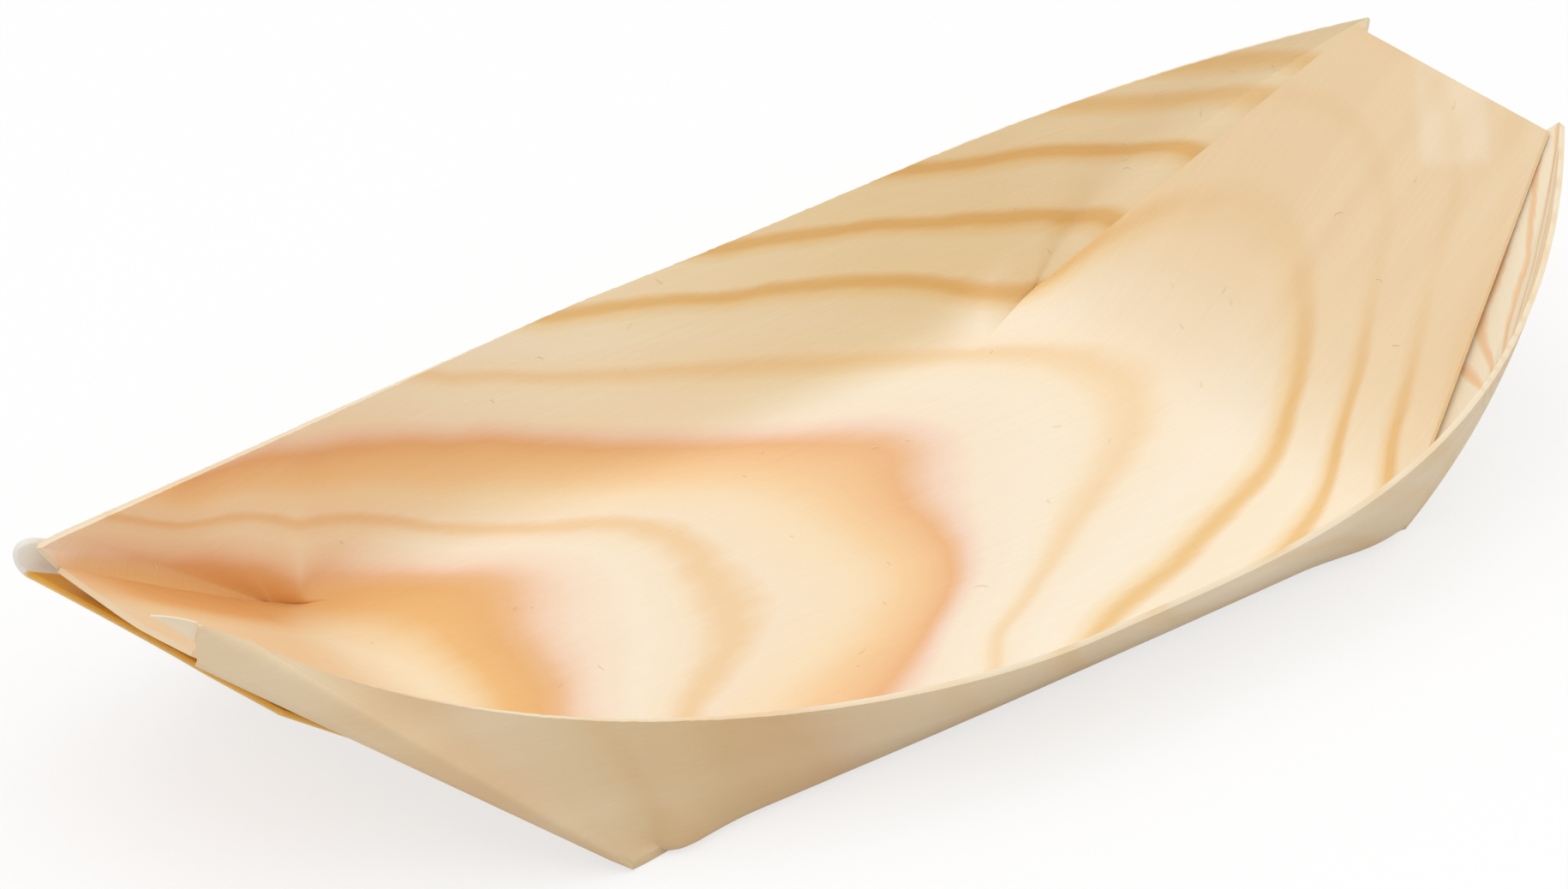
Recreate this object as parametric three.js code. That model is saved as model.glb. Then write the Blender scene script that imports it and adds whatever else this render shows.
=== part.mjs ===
// Food boat tray: one slit and folded sheet of pine veneer, with a veneer strip glued across each end.
// Millimetres, +Z up, long axis along X, front towards -Y.
import * as THREE from 'three';

// Veneer, and the depth of each layer behind an end panel's inner face
const VENEER = 0.6;
const LAYER_GAP = 0.25;
const TAB_DEPTH = VENEER + LAYER_GAP;
const STRIP_DEPTH = TAB_DEPTH + VENEER + LAYER_GAP;

// Floor: flat sheet between the fold lines
const FLOOR_LENGTH = 97;
const FLOOR_WIDTH = 58.6;
const SIDE_BEND = 3;
const CORNER_BEND = 0.8;
const BEND_EASE = 0.7;
const SLIT_RELIEF = 1;
const PANEL_INSET = 0.7;

// Side walls: rim half-width and height at mid-length
const RIM_HALF_WIDTH = 41.4;
const RIM_HEIGHT = 13.7;
const RIM_SOFTNESS = 0.12;
const FAN_START = 0.58;
const FAN_BEND = 10;
const BOW_START = 0.66;

// End panels: slant length, rise, and half-width of the free edge at the back and at the front
const PANEL_SLANT = 44.1;
const LEFT_END = { side: -1, rise: 24.8, backHalf: 15, frontHalf: 6 };
const RIGHT_END = { side: 1, rise: 28.7, backHalf: 14.7, frontHalf: 14.7 };

// Corners: how far each rim's tip stands past, beside and behind the panel's free corner, the rim's narrowing
// and rising powers, and how far the bend bows past and swells behind the panel's edge
const BACK_LEFT = { past: 3.8, beside: -0.1, depth: -2.2, narrowing: 0.99, rising: 1.03, bow: 2, swell: 0 };
const FRONT_LEFT = { past: 2.9, beside: 1.8, depth: -5, narrowing: 1.39, rising: 3.29, bow: 1.6, swell: 0 };
const RIGHT_CORNER = {
  past: 1.6, beside: 0.1, depth: TAB_DEPTH, narrowing: 3.09, rising: 2.41, bow: 3.4, swell: 1,
};

// Tabs: wall ends turned in behind the panels, with their tips below and behind the panel's free edge
const TAB_WRAP = 0.4;
const TAB_CLEAR = 0.7;
const SWELL_END = 0.5;
const TAB_DROP = 18;
const TAB_TIP_HALF = 4;

// Strips glued across the ends. The left one loops past the back corner and hangs lower at the front.
const STRIP_WIDTH = 12;
const STRIP_PAST = 3.4;
const STRIP_SAG = 13.7;
const STRIP_LAP = 4.2;
const LOOP_START = 0.4;
const LOOP_REACH = 2;
const LOOP_DEPTH = 4;
const RIGHT_STRIP_DROP = 1.6;
const RIGHT_STRIP_INSET = 2.7;

// Glue pads between the tabs and the strips
const GLUE_CLEAR = 0.04;
const GLUE_DROP = 7;
const GLUE_LENGTH = 5;
const GLUE_WIDTH = 2.4;
const GLUE_INSET = 1;

// Grid steps
const WALL_COLUMNS = 48;
const BEND_ROWS = 5;
const WALL_ROWS = 6;
const TAB_COLUMNS = 12;
const STRIP_COLUMNS = 12;
const LOOP_COLUMNS = 8;
const STRIP_ROWS = 3;

const HALF_LENGTH = FLOOR_LENGTH / 2;
const HALF_WIDTH = FLOOR_WIDTH / 2;
const END_HALF = HALF_WIDTH - PANEL_INSET;
const ROWS = BEND_ROWS + WALL_ROWS;

const { lerp, smoothstep } = THREE.MathUtils;

// A closed solid between two grids of points of the same size. Columns may share their first point.
function sheet(name, inner, outer, material) {
  const columns = inner.length;
  const rows = inner[0].length;
  const points = [...inner.flat(), ...outer.flat()];
  const merged = points.map((point) => points.findIndex((other) => other.equals(point)));
  const top = (i, j) => merged[i * rows + j];
  const back = (i, j) => merged[columns * rows + i * rows + j];
  const faces = [];
  const triangle = (a, b, c) => {
    if (a !== b && b !== c && c !== a) {
      faces.push(a, b, c);
    }
  };
  const quad = (a, b, c, d) => {
    triangle(a, b, c);
    triangle(a, c, d);
  };
  for (let i = 0; i + 1 < columns; i += 1) {
    for (let j = 0; j + 1 < rows; j += 1) {
      quad(top(i, j), top(i + 1, j), top(i + 1, j + 1), top(i, j + 1));
      quad(back(i, j), back(i, j + 1), back(i + 1, j + 1), back(i + 1, j));
    }
  }
  for (let i = 0; i + 1 < columns; i += 1) {
    quad(top(i, 0), back(i, 0), back(i + 1, 0), top(i + 1, 0));
    quad(top(i, rows - 1), top(i + 1, rows - 1), back(i + 1, rows - 1), back(i, rows - 1));
  }
  for (let j = 0; j + 1 < rows; j += 1) {
    quad(top(0, j), top(0, j + 1), back(0, j + 1), back(0, j));
    quad(top(columns - 1, j), back(columns - 1, j), back(columns - 1, j + 1), top(columns - 1, j + 1));
  }
  let volume = 0;
  for (let k = 0; k < faces.length; k += 3) {
    const [a, b, c] = [points[faces[k]], points[faces[k + 1]], points[faces[k + 2]]];
    volume += a.dot(new THREE.Vector3().crossVectors(b, c));
  }
  if (volume < 0) {
    faces.reverse();
  }
  const geometry = new THREE.BufferGeometry().setFromPoints(points);
  geometry.setIndex(faces);
  const mesh = new THREE.Mesh(geometry, material);
  mesh.name = name;
  return mesh;
}

// Grid normals, evened out along the rows and turned to agree with a direction at a chosen grid point.
function gridNormals(grid, column, row, direction) {
  const columns = grid.length;
  const rows = grid[0].length;
  const normals = grid.map((line, i) => line.map((_, j) => {
    const along = grid[Math.min(i + 1, columns - 1)][j].clone().sub(grid[Math.max(i - 1, 0)][j]);
    const across = grid[i][Math.min(j + 1, rows - 1)].clone().sub(grid[i][Math.max(j - 1, 0)]);
    return along.cross(across).normalize();
  }));
  const turn = normals[column][row].dot(direction) < 0 ? -1 : 1;
  return normals.map((line, i) => line.map((normal, j) => {
    const before = normals[Math.max(i - 1, 0)][j];
    const after = normals[Math.min(i + 1, columns - 1)][j];
    return normal.clone().add(before).add(after).normalize().multiplyScalar(turn);
  }));
}

function offsetGrid(grid, normals) {
  return grid.map((line, i) => line.map((point, j) => point.clone().addScaledVector(normals[i][j], VENEER)));
}

// A rim's tip, as reach up the panel, half-width and depth behind the panel's inner face.
function rimTip(corner, panelHalf) {
  return { ...corner, reach: PANEL_SLANT + corner.past, half: panelHalf + corner.beside };
}

// Panel frame: reach up the slant, position across, depth behind the inner face.
function panelFrame(end) {
  const slope = Math.asin(end.rise / PANEL_SLANT);
  const mitre = VENEER * Math.tan(slope / 2);
  const point = (reach, across, depth) => new THREE.Vector3(
    end.side * (HALF_LENGTH + reach * Math.cos(slope) + depth * Math.sin(slope)),
    across,
    VENEER + reach * Math.sin(slope) - depth * Math.cos(slope),
  );
  const outward = new THREE.Vector3(end.side * Math.sin(slope), 0, -Math.cos(slope));
  return { point, mitre, outward };
}

const LEFT = panelFrame(LEFT_END);
const RIGHT = panelFrame(RIGHT_END);
const CORNERS = {
  back: { left: rimTip(BACK_LEFT, LEFT_END.backHalf), right: rimTip(RIGHT_CORNER, RIGHT_END.backHalf) },
  front: { left: rimTip(FRONT_LEFT, LEFT_END.frontHalf), right: rimTip(RIGHT_CORNER, RIGHT_END.frontHalf) },
};

// Root of a slit, where the end of a wall and its tab fan out.
function slitRoot(frame, hand) {
  return frame.point(SLIT_RELIEF, hand * HALF_WIDTH, TAB_DEPTH);
}

// Bend length beside the fold line, short at the slit roots.
function bendAt(x) {
  return lerp(SIDE_BEND, CORNER_BEND, smoothstep(Math.abs(x) / (HALF_LENGTH - SLIT_RELIEF), BEND_EASE, 1));
}

// Shallow arch, 0 at both ends and 1 in the middle.
function arch(q) {
  return 4 * q * (1 - q);
}

function softened(k) {
  const base = Math.hypot(k, RIM_SOFTNESS) - RIM_SOFTNESS;
  return base / (Math.hypot(1, RIM_SOFTNESS) - RIM_SOFTNESS);
}

// Wall columns that start along the floor; the others fan out from the root of a slit.
function onFloor(i) {
  return Math.abs((2 * i) / WALL_COLUMNS - 1) <= FAN_START;
}

// One column of a side wall, from the floor bend up to the rim; u runs from -1 at the left end to 1.
function wallColumn(u, hand) {
  const k = Math.abs(u);
  const toRight = u >= 0;
  const frame = toRight ? RIGHT : LEFT;
  const side = toRight ? 1 : -1;
  const corners = hand > 0 ? CORNERS.back : CORNERS.front;
  const corner = toRight ? corners.right : corners.left;
  const tip = frame.point(corner.reach, hand * corner.half, corner.depth);
  const soft = softened(k);
  const rim = new THREE.Vector3(
    k * tip.x,
    hand * (RIM_HALF_WIDTH - (RIM_HALF_WIDTH - corner.half) * soft ** corner.narrowing),
    RIM_HEIGHT + (tip.z - RIM_HEIGHT) * soft ** corner.rising,
  );
  const foldX = Math.min(k / FAN_START, 1) * (HALF_LENGTH - SLIT_RELIEF);
  const inset = bendAt(foldX);
  const onFold = new THREE.Vector3(side * foldX, hand * (HALF_WIDTH - inset), VENEER);
  const start = k <= FAN_START ? onFold : slitRoot(frame, hand);
  const unbent = smoothstep(k, FAN_START, BOW_START);
  const bend = lerp(inset, FAN_BEND, smoothstep(k, FAN_START, 1));
  const rising = rim.clone().sub(start);
  const level = new THREE.Vector3(rising.x, rising.y, 0).normalize();
  level.lerp(rising.normalize(), unbent);
  const fold = start.clone().addScaledVector(level, bend);
  const straight = fold.clone().addScaledVector(rim.clone().sub(fold).normalize(), bend);
  const bow = corner.bow * smoothstep(k, BOW_START, 1);
  const column = [];
  for (let j = 0; j <= BEND_ROWS; j += 1) {
    const q = j / BEND_ROWS;
    const low = start.clone().lerp(fold, q);
    column.push(low.lerp(fold.clone().lerp(straight, q), q));
  }
  for (let j = 1; j <= WALL_ROWS; j += 1) {
    column.push(straight.clone().lerp(rim, j / WALL_ROWS));
  }
  const length = start.distanceTo(rim);
  column.forEach((point) => {
    point.y += hand * bow * arch(start.distanceTo(point) / length);
  });
  return column;
}

// Columns of a tab, carrying on from the end of a wall, round the panel's side edge and flat behind it.
// A wall end that stands in front of the panel turns round its top corner first.
function tabColumns(hand, frame, corner) {
  const columns = [];
  const standing = corner.depth < 0;
  const wrap = standing ? TAB_WRAP : 0;
  const turnReach = standing ? PANEL_SLANT + TAB_CLEAR : corner.reach;
  const turnHalf = standing ? corner.half + TAB_CLEAR / 2 : corner.half;
  const tipHalf = Math.min(TAB_TIP_HALF, corner.half / 2);
  const root = slitRoot(frame, hand);
  for (let i = 1; i <= TAB_COLUMNS; i += 1) {
    const t = i / TAB_COLUMNS;
    const turned = standing ? Math.min(t / TAB_WRAP, 1) : smoothstep(t, 0, TAB_WRAP);
    const angle = turned * (Math.PI / 2);
    const flat = Math.max((t - wrap) / (1 - wrap), 0);
    const free = frame.point(
      lerp(lerp(turnReach, corner.reach, Math.cos(angle)), PANEL_SLANT - TAB_DROP, flat),
      hand * lerp(lerp(turnHalf, corner.half, Math.cos(angle)), tipHalf, flat),
      lerp(corner.depth, TAB_DEPTH, Math.sin(angle)),
    );
    const swell = corner.swell * Math.sin(angle) * (1 - smoothstep(flat, 0, SWELL_END));
    const first = (2 * FAN_BEND) / root.distanceTo(free);
    const column = [];
    for (let j = 0; j <= ROWS; j += 1) {
      const q = j <= BEND_ROWS ? (first * j) / BEND_ROWS : lerp(first, 1, (j - BEND_ROWS) / WALL_ROWS);
      const point = root.clone().lerp(free, q);
      point.y += hand * corner.bow * Math.cos(angle) * arch(q);
      column.push(point.addScaledVector(frame.outward, swell * arch(q)));
    }
    columns.push(column);
  }
  return columns;
}

// One long side of the sheet, from tab to tab, cut into the wall and its two tabs.
function sideGrids(hand, corners) {
  const leftTab = tabColumns(hand, LEFT, corners.left).reverse();
  const rightTab = tabColumns(hand, RIGHT, corners.right);
  const wall = [];
  for (let i = 0; i <= WALL_COLUMNS; i += 1) {
    wall.push(wallColumn((2 * i) / WALL_COLUMNS - 1, hand));
  }
  const inner = [...leftTab, ...wall, ...rightTab];
  const wallEnd = TAB_COLUMNS + WALL_COLUMNS;
  const normals = gridNormals(inner, TAB_COLUMNS + WALL_COLUMNS / 2, ROWS, new THREE.Vector3(0, hand, 0));
  normals.forEach((column, i) => {
    const frame = i < inner.length / 2 ? LEFT : RIGHT;
    const down = onFloor(i - TAB_COLUMNS);
    column[0].set(0, hand, 0).add(frame.outward).normalize();
    if (down) {
      column[0].set(0, 0, -1);
    }
  });
  const outer = offsetGrid(inner, normals);
  const cut = (from, to) => ({ inner: inner.slice(from, to), outer: outer.slice(from, to) });
  return {
    leftTab: cut(0, TAB_COLUMNS + 1),
    wall: cut(TAB_COLUMNS, wallEnd + 1),
    rightTab: cut(wallEnd, inner.length),
  };
}

function floorGrids(back, front) {
  const inner = [];
  const outer = [];
  const endColumn = (end, frame) => {
    inner.push([-1, 1].map((hand) => frame.point(0, hand * END_HALF, 0)));
    outer.push([-1, 1].map((hand) => frame.point(-frame.mitre, hand * END_HALF, VENEER)));
  };
  endColumn(LEFT_END, LEFT);
  for (let i = 0; i <= WALL_COLUMNS; i += 1) {
    if (onFloor(i)) {
      inner.push([front.inner[i][0], back.inner[i][0]]);
      outer.push([front.outer[i][0], back.outer[i][0]]);
    }
  }
  endColumn(RIGHT_END, RIGHT);
  return { inner, outer };
}

function panelGrids(end, frame) {
  const sides = [[-1, end.frontHalf], [1, end.backHalf]];
  return {
    inner: sides.map(([hand, half]) => [
      frame.point(0, hand * END_HALF, 0),
      frame.point(PANEL_SLANT, hand * half, 0),
    ]),
    outer: sides.map(([hand, half]) => [
      frame.point(-frame.mitre, hand * END_HALF, VENEER),
      frame.point(PANEL_SLANT, hand * half, VENEER),
    ]),
  };
}

// Strip across the left end: a loop round the back corner, then flat over both tabs.
function loopedStripGrids(frame, corner, nearCorner) {
  const inner = [];
  const nearHalf = nearCorner.half + STRIP_LAP;
  const lean = (HALF_WIDTH - corner.half) / corner.reach;
  const top = (across) => {
    const along = Math.max(corner.half - across, 0) / (corner.half + nearHalf);
    return PANEL_SLANT + STRIP_PAST - STRIP_SAG * along ** 2;
  };
  for (let i = 0; i <= LOOP_COLUMNS + STRIP_COLUMNS; i += 1) {
    const angle = Math.min(i / LOOP_COLUMNS, 1) * (Math.PI / 2);
    const flat = Math.max((i - LOOP_COLUMNS) / STRIP_COLUMNS, 0);
    const column = [];
    for (let j = 0; j <= STRIP_ROWS; j += 1) {
      const drop = (STRIP_WIDTH * j) / STRIP_ROWS;
      const edge = corner.half + (corner.bow * drop) / STRIP_WIDTH + lean * drop;
      const turned = edge + LOOP_START + LOOP_REACH * Math.cos(angle);
      const across = lerp(turned, -nearHalf, flat);
      const depth = STRIP_DEPTH - LOOP_DEPTH * (1 - Math.sin(angle));
      column.push(frame.point(top(across) - drop, across, depth));
    }
    inner.push(column);
  }
  const normals = gridNormals(inner, LOOP_COLUMNS + STRIP_COLUMNS, 0, frame.outward);
  return { inner, outer: offsetGrid(inner, normals) };
}

function flatPlate(frame, low, high, half, mid, depth, thick) {
  const layer = (n) => [mid - half, mid + half].map((across) => [
    frame.point(low, across, n),
    frame.point(high, across, n),
  ]);
  return { inner: layer(depth), outer: layer(depth + thick) };
}

function wood(color, roughness) {
  return new THREE.MeshStandardMaterial({ color, roughness, metalness: 0 });
}

const floorWood = wood(0xf6e3c0, 0.62);
const wallWood = wood(0xe4cb9f, 0.62);
const panelWood = wood(0xeed3aa, 0.62);
const tabWood = wood(0xdcc096, 0.64);
const stripWood = wood(0xe2ad68, 0.6);
const glue = wood(0xc98a34, 0.35);

const tray = new THREE.Group();
tray.name = 'food_boat_tray';
const add = (name, grids, material) => tray.add(sheet(name, grids.inner, grids.outer, material));

const back = sideGrids(1, CORNERS.back);
const front = sideGrids(-1, CORNERS.front);
add('floor_panel', floorGrids(back.wall, front.wall), floorWood);
add('back_wall', back.wall, wallWood);
add('front_wall', front.wall, wallWood);
add('left_end_panel', panelGrids(LEFT_END, LEFT), panelWood);
add('right_end_panel', panelGrids(RIGHT_END, RIGHT), panelWood);
add('back_left_tab', back.leftTab, tabWood);
add('front_left_tab', front.leftTab, tabWood);
add('back_right_tab', back.rightTab, tabWood);
add('front_right_tab', front.rightTab, tabWood);
add('left_end_strip', loopedStripGrids(LEFT, CORNERS.back.left, CORNERS.front.left), stripWood);
const rightTop = PANEL_SLANT - RIGHT_STRIP_DROP;
const rightHalf = RIGHT_END.backHalf - RIGHT_STRIP_INSET;
const rightStrip = flatPlate(RIGHT, rightTop - STRIP_WIDTH, rightTop, rightHalf, 0, STRIP_DEPTH, VENEER);
add('right_end_strip', rightStrip, stripWood);

const glueDepth = TAB_DEPTH + VENEER + GLUE_CLEAR;
const glueThick = LAYER_GAP - 2 * GLUE_CLEAR;
const addGlue = (name, frame, across) => {
  const top = PANEL_SLANT - GLUE_DROP;
  add(name, flatPlate(frame, top - GLUE_LENGTH, top, GLUE_WIDTH / 2, across, glueDepth, glueThick), glue);
};
addGlue('back_left_glue', LEFT, CORNERS.back.left.half - GLUE_INSET);
addGlue('front_left_glue', LEFT, -CORNERS.front.left.half - GLUE_INSET);
addGlue('back_right_glue', RIGHT, rightHalf - GLUE_WIDTH);
addGlue('front_right_glue', RIGHT, GLUE_WIDTH - rightHalf);

// Origin at the middle of the footprint, standing on Z = 0
const box = new THREE.Box3().setFromObject(tray);
const middle = box.getCenter(new THREE.Vector3());
tray.children.forEach((mesh) => mesh.geometry.translate(-middle.x, -middle.y, -box.min.z));

export default tray;
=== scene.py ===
import bpy
import numpy as np
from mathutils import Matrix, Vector


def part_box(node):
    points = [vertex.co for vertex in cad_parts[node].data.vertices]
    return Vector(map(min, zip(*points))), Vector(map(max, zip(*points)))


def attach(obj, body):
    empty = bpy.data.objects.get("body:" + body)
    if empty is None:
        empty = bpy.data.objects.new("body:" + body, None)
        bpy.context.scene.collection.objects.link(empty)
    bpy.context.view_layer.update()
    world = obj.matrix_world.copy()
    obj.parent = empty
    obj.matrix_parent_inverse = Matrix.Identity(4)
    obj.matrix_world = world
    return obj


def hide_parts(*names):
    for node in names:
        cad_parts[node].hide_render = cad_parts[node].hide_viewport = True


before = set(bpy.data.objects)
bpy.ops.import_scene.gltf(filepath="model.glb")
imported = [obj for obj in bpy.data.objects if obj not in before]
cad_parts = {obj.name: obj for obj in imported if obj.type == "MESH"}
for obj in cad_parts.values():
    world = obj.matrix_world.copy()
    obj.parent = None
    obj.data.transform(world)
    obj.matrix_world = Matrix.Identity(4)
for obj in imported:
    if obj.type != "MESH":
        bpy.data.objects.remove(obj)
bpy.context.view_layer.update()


# Floor of the tray: the middle of one sheet of rotary-cut pine veneer, about 0.6 mm thick.
# It lies flat on the table. The side walls and end panels are bent up from its four edges, so it has
# no cut edge of its own, and its growth rings run on into them.
MM = 0.001  # in metres; the lengths below are in millimetres
DECIMETRE = 100  # in millimetres
VENEER = 0.6
LEFT_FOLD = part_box("left_end_panel")[1].x / MM
RIGHT_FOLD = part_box("right_end_panel")[0].x / MM
MIDDLE = (LEFT_FOLD + RIGHT_FOLD) / 2
HALF_LENGTH = (RIGHT_FOLD - LEFT_FOLD) / 2
HALF_WIDTH = 29.3
SLIT_PAST = 1.3
SLIT_X = HALF_LENGTH + SLIT_PAST
BACK_BEND = 5.0
FRONT_BEND = 1.6
END_BEND = 4.5
BEND_FADE = 0.7
FLOOR_COLUMNS = 120
FLOOR_ROWS = 60
# Painted shade on the floor: a darker colour laid fully on its underside and not on its inside; each look
# gives how clearly the rings show and how much painted shade is laid on
FLOOR_SHADE = (240, 226, 200)
FLOOR_INSIDE, FLOOR_OUTSIDE = (1, 0), (0.3, 1)
FLOOR_FIBRES = 22
PLACE_DIGITS = 4
SHARP_TURN = np.radians(50)


def lerp(a, b, t):
    """Point a share t of the way from a to b."""
    return a + (b - a) * t


def ease(x, low, high):
    """0 below low, 1 above high, and a smooth rise between them."""
    q = np.clip((x - low) / (high - low), 0, 1)
    return q * q * (3 - 2 * q)


def unit(vectors):
    """Vectors of the last axis divided by their lengths."""
    return vectors / np.linalg.norm(vectors, axis=-1, keepdims=True)


def side_bend(hand):
    """Arm of the soft bend between the floor and a wall: wide at the back, tight at the front."""
    return np.where(hand > 0, BACK_BEND, FRONT_BEND)


def fold_half(x, hand):
    """Half width of the floor at x: the fold line less the bend, which fades out towards the slits."""
    return HALF_WIDTH - side_bend(hand) * (1 - ease(np.abs(x) / SLIT_X, BEND_FADE, 1))


def srgb(red, green, blue):
    """Linear colour for one written in screen values from 0 to 255."""
    c = np.array([red, green, blue]) / 255
    return (*np.where(c <= 0.04045, c / 12.92, ((c + 0.055) / 1.055) ** 2.4), 1.0)


def cells(ids):
    """Corner numbers of the four-sided cells between neighbouring rows and columns of a grid."""
    return np.stack([ids[:-1, :-1], ids[1:, :-1], ids[1:, 1:], ids[:-1, 1:]], -1).reshape(-1, 4)


def veneer_piece(name, material, inner, outer, blank, inside, outside, numbers=None, cut=1.0):
    """Closed piece of veneer between two grids of one shape: the cells of both grids and a strip of cells
    round their edge, as triangles, with points that fall together made one. The map holds each point's
    place on the flat blank, in decimetres, and the attribute ring its growth ring's number. A further
    attribute holds how clearly the rings show and how much painted shade is laid on (painted amber glow on
    the strips), given for the inside and the outside, and how pale the cut edge is."""
    columns, rows = inner.shape[:2]
    count = columns * rows
    ids = np.arange(count).reshape(columns, rows)
    ring = np.concatenate([ids[:, 0], ids[-1, 1:], ids[-2::-1, -1], ids[0, -2:0:-1]])
    ahead = np.roll(ring, -1)
    strip = np.stack([ahead, ring, ring + count, ahead + count], -1)
    quads = np.concatenate([cells(ids), cells(ids + count)[:, ::-1], strip])
    edge = np.arange(len(quads)) >= len(quads) - len(strip)
    corners = np.concatenate([quads[:, [0, 1, 2]], quads[:, [0, 2, 3]]])
    edge = np.concatenate([edge, edge])
    points = np.concatenate([inner.reshape(-1, 3), outer.reshape(-1, 3)]) + [MIDDLE, 0, 0]
    points, joined = np.unique(np.round(points, PLACE_DIGITS), axis=0, return_inverse=True)
    faces = joined.reshape(-1)[corners]
    sound = (faces != np.roll(faces, 1, axis=1)).all(1)
    corners, faces, edge = corners[sound], faces[sound], edge[sound]
    a, b, c = (points[faces[:, i]] for i in range(3))
    if np.sum(a * np.cross(b, c)) < 0:
        corners, faces = corners[:, ::-1], faces[:, ::-1]
    mesh = bpy.data.meshes.new(name)
    mesh.from_pydata((points * MM).tolist(), [], faces.tolist())
    places = np.concatenate([blank.reshape(-1, 2)] * 2)[corners.reshape(-1)] / DECIMETRE
    mesh.uv_layers.new(name="blank").data.foreach_set("uv", places.reshape(-1))
    numbers = ring_number(blank[..., 0], blank[..., 1]) if numbers is None else numbers
    numbers = np.tile(numbers.reshape(-1), 2)[corners.reshape(-1)]
    mesh.attributes.new("ring", "FLOAT", "CORNER").data.foreach_set("value", numbers)
    looks = [np.broadcast_to(look, (columns, rows)).reshape(-1) for look in (*inside, *outside)]
    looks = np.stack([np.concatenate(looks[0::2]), np.concatenate(looks[1::2])], -1)[corners.reshape(-1)]
    rings_light_edge = np.column_stack([looks, np.repeat(edge * cut, 3)])
    mesh.attributes.new("rings_light_edge", "FLOAT_VECTOR", "CORNER").data.foreach_set("vector", rings_light_edge.reshape(-1))
    mesh.shade_smooth()
    mesh.set_sharp_from_angle(angle=SHARP_TURN)
    mesh.materials.append(material)
    piece = bpy.data.objects.new(name, mesh)
    bpy.context.scene.collection.objects.link(piece)
    return piece


def place(tree, kind, **settings):
    """New shader node of a kind with its settings."""
    node = tree.nodes.new(kind)
    for key, value in settings.items():
        setattr(node, key, value)
    return node


def connect(tree, value, socket):
    """Links an input to another socket, or sets it to a plain value."""
    if isinstance(value, bpy.types.NodeSocket):
        tree.links.new(value, socket)
    else:
        socket.default_value = value


def feed(tree, node, **values):
    """Links or sets the named inputs of a node; _ in a name stands for a space."""
    for key, value in values.items():
        connect(tree, value, node.inputs[key.replace("_", " ")])
    return node


def sum_up(tree, operation, *values):
    """Output of a math node that works on sockets or numbers."""
    node = place(tree, "ShaderNodeMath", operation=operation)
    for value, socket in zip(values, node.inputs):
        connect(tree, value, socket)
    return node.outputs[0]


def blend(tree, share, first, second, way="MIX"):
    """Colour a share of the way from the first to the second, or to the two blended in another way. A mix
    node takes the share at input 0 and colours at inputs 6 and 7, and gives a colour at output 2."""
    node = place(tree, "ShaderNodeMix", data_type="RGBA", blend_type=way)
    for value, number in ((share, 0), (first, 6), (second, 7)):
        connect(tree, value, node.inputs[number])
    return node.outputs[2]


def ranged(tree, value, low, high, first=0.0, last=1.0):
    """Value from low to high moved evenly onto the span from first to last, and held at its ends."""
    node = place(tree, "ShaderNodeMapRange")
    feed(tree, node, Value=value, From_Min=low, From_Max=high, To_Min=first, To_Max=last)
    return node.outputs[0]


def stretched_noise(tree, along, across, shares, detail):
    """Noise drawn out along the grain: shares are its cycles per mm along and across the blank."""
    x, y = (sum_up(tree, "MULTIPLY", way, share) for way, share in zip((along, across), shares))
    join = feed(tree, place(tree, "ShaderNodeCombineXYZ"), X=x, Y=y)
    noise = place(tree, "ShaderNodeTexNoise", noise_dimensions="2D")
    feed(tree, noise, Vector=join.outputs[0], Scale=1.0, Detail=detail, Roughness=0.6)
    return noise.outputs[0]


# Growth rings as they lie on the flat blank: a ring's number, then places along it in mm from the middle
RING_TRACES = [
    (-52, (-70, 19), (-58, 18), (-52, 16), (-50, 9)),
    (-40, (-64, 25.5), (-54, 26), (-46, 24), (-42, 19), (-41, 12), (-42.5, 5)),
    (-27, (-80, 53.5), (-70, 47), (-60, 41), (-50, 35.5), (-42, 31), (-35, 26.5), (-29, 23), (-25.5, 19.5),
     (-28, 16), (-31, 12), (-33, 7), (-34, 2), (-37, -3)),
    (-10, (-70, 51.5), (-60, 46), (-50, 41.3), (-44, 37.5), (-38, 33.5), (-29, 29), (-20, 25), (-13, 21.5),
     (-10, 18), (-10, 12), (-12, 6), (-15, 0), (-19, -5), (-25, -9), (-30, -12)),
    (18, (-64, 53.5), (-50, 49), (-43, 45), (-37, 42), (-30, 40), (-20, 37.3), (-10, 33.5), (0, 29.5),
     (8, 25.5), (14, 21), (20, 17), (20, 14), (16, 9), (13.5, 4), (13, 0), (11, -5), (8, -9), (3, -13),
     (-3, -17), (-9, -20)),
    (46, (-22, 43.3), (-10, 40.3), (0, 37.3), (10, 34.3), (20, 31.3), (30, 28), (38, 24.5), (43, 21),
     (46, 17), (46, 12), (43, 6), (37.5, 0.5), (30, -4.5), (22, -9), (14, -14), (4, -19)),
    (70, (0, 45.3), (10, 43), (20, 40.5), (30, 37.5), (38, 34.5), (45, 31.8), (51, 29), (60, 25), (67, 19),
     (70, 13), (69, 6), (65, -1), (58, -7), (48, -12), (38, -16), (26, -21)),
    (90, (16, 46), (25, 44.5), (35, 42.5), (45, 40.3), (52, 38), (58, 35), (83, 14), (82, 4), (75, -5),
     (62, -13), (48, -20)),
    (112, (38, 47), (45, 46), (52, 44.7), (60, 43), (67, 40), (92, 6), (84, -8), (70, -15), (56, -22)),
    (130, (60, 47.5), (66, 46.5), (72, 45), (77, 43.5)),
    (142, (70, 50), (77, 48.7), (83, 46.8)),
]
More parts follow.
